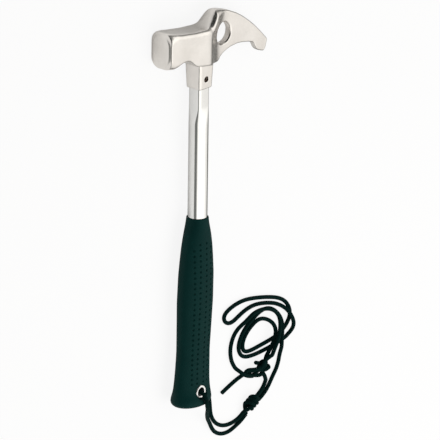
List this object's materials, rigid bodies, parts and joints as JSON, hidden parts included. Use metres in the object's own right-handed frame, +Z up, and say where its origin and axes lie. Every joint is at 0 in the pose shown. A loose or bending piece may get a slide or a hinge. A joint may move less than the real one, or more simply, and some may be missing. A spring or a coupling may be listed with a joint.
{
  "type": "piton hammer",
  "caption": "Climbing hammer with a square striking poll, thin curved pick with a round hole, steel tube shaft, rubber grip and a knotted braided hand cord, lying on its side.",
  "frame": {"origin": "centre of the rigid hammer's bounding box on the floor it lies on, without its cord", "axes": "+Y along the shaft from the butt to the head, +X from the striking face to the beak of the pick, +Z up, out of the cheek that faces up"},
  "size_m": [0.157, 0.3371, 0.0281],
  "materials": {
    "forged_steel": "satin, finely ground",
    "polished_steel": "polished",
    "pin_steel": "dark, slightly rusty",
    "plug_plastic": "matte",
    "grip_rubber": "matte with a patch of moulded dimples",
    "eyelet_metal": "bright plated",
    "cord_braid": "fine diagonal braid"
  },
  "bodies": {
    "root": {"head": "forged_steel", "shaft_tube": "polished_steel", "head_pin": "pin_steel", "shaft_end_plug": "plug_plastic", "grip": "grip_rubber", "eyelet": "eyelet_metal", "eyelet_washer": "eyelet_metal", "cord_near_leg": "cord_braid", "cord_far_leg": "cord_braid", "cord_lower_knot": "cord_braid", "cord_short_run": "cord_braid", "cord_main_loops": "cord_braid", "cord_outer_loop": "cord_braid", "cord_upper_knot": "cord_braid", "cord_tail": "cord_braid"}
  },
  "joints": []
}
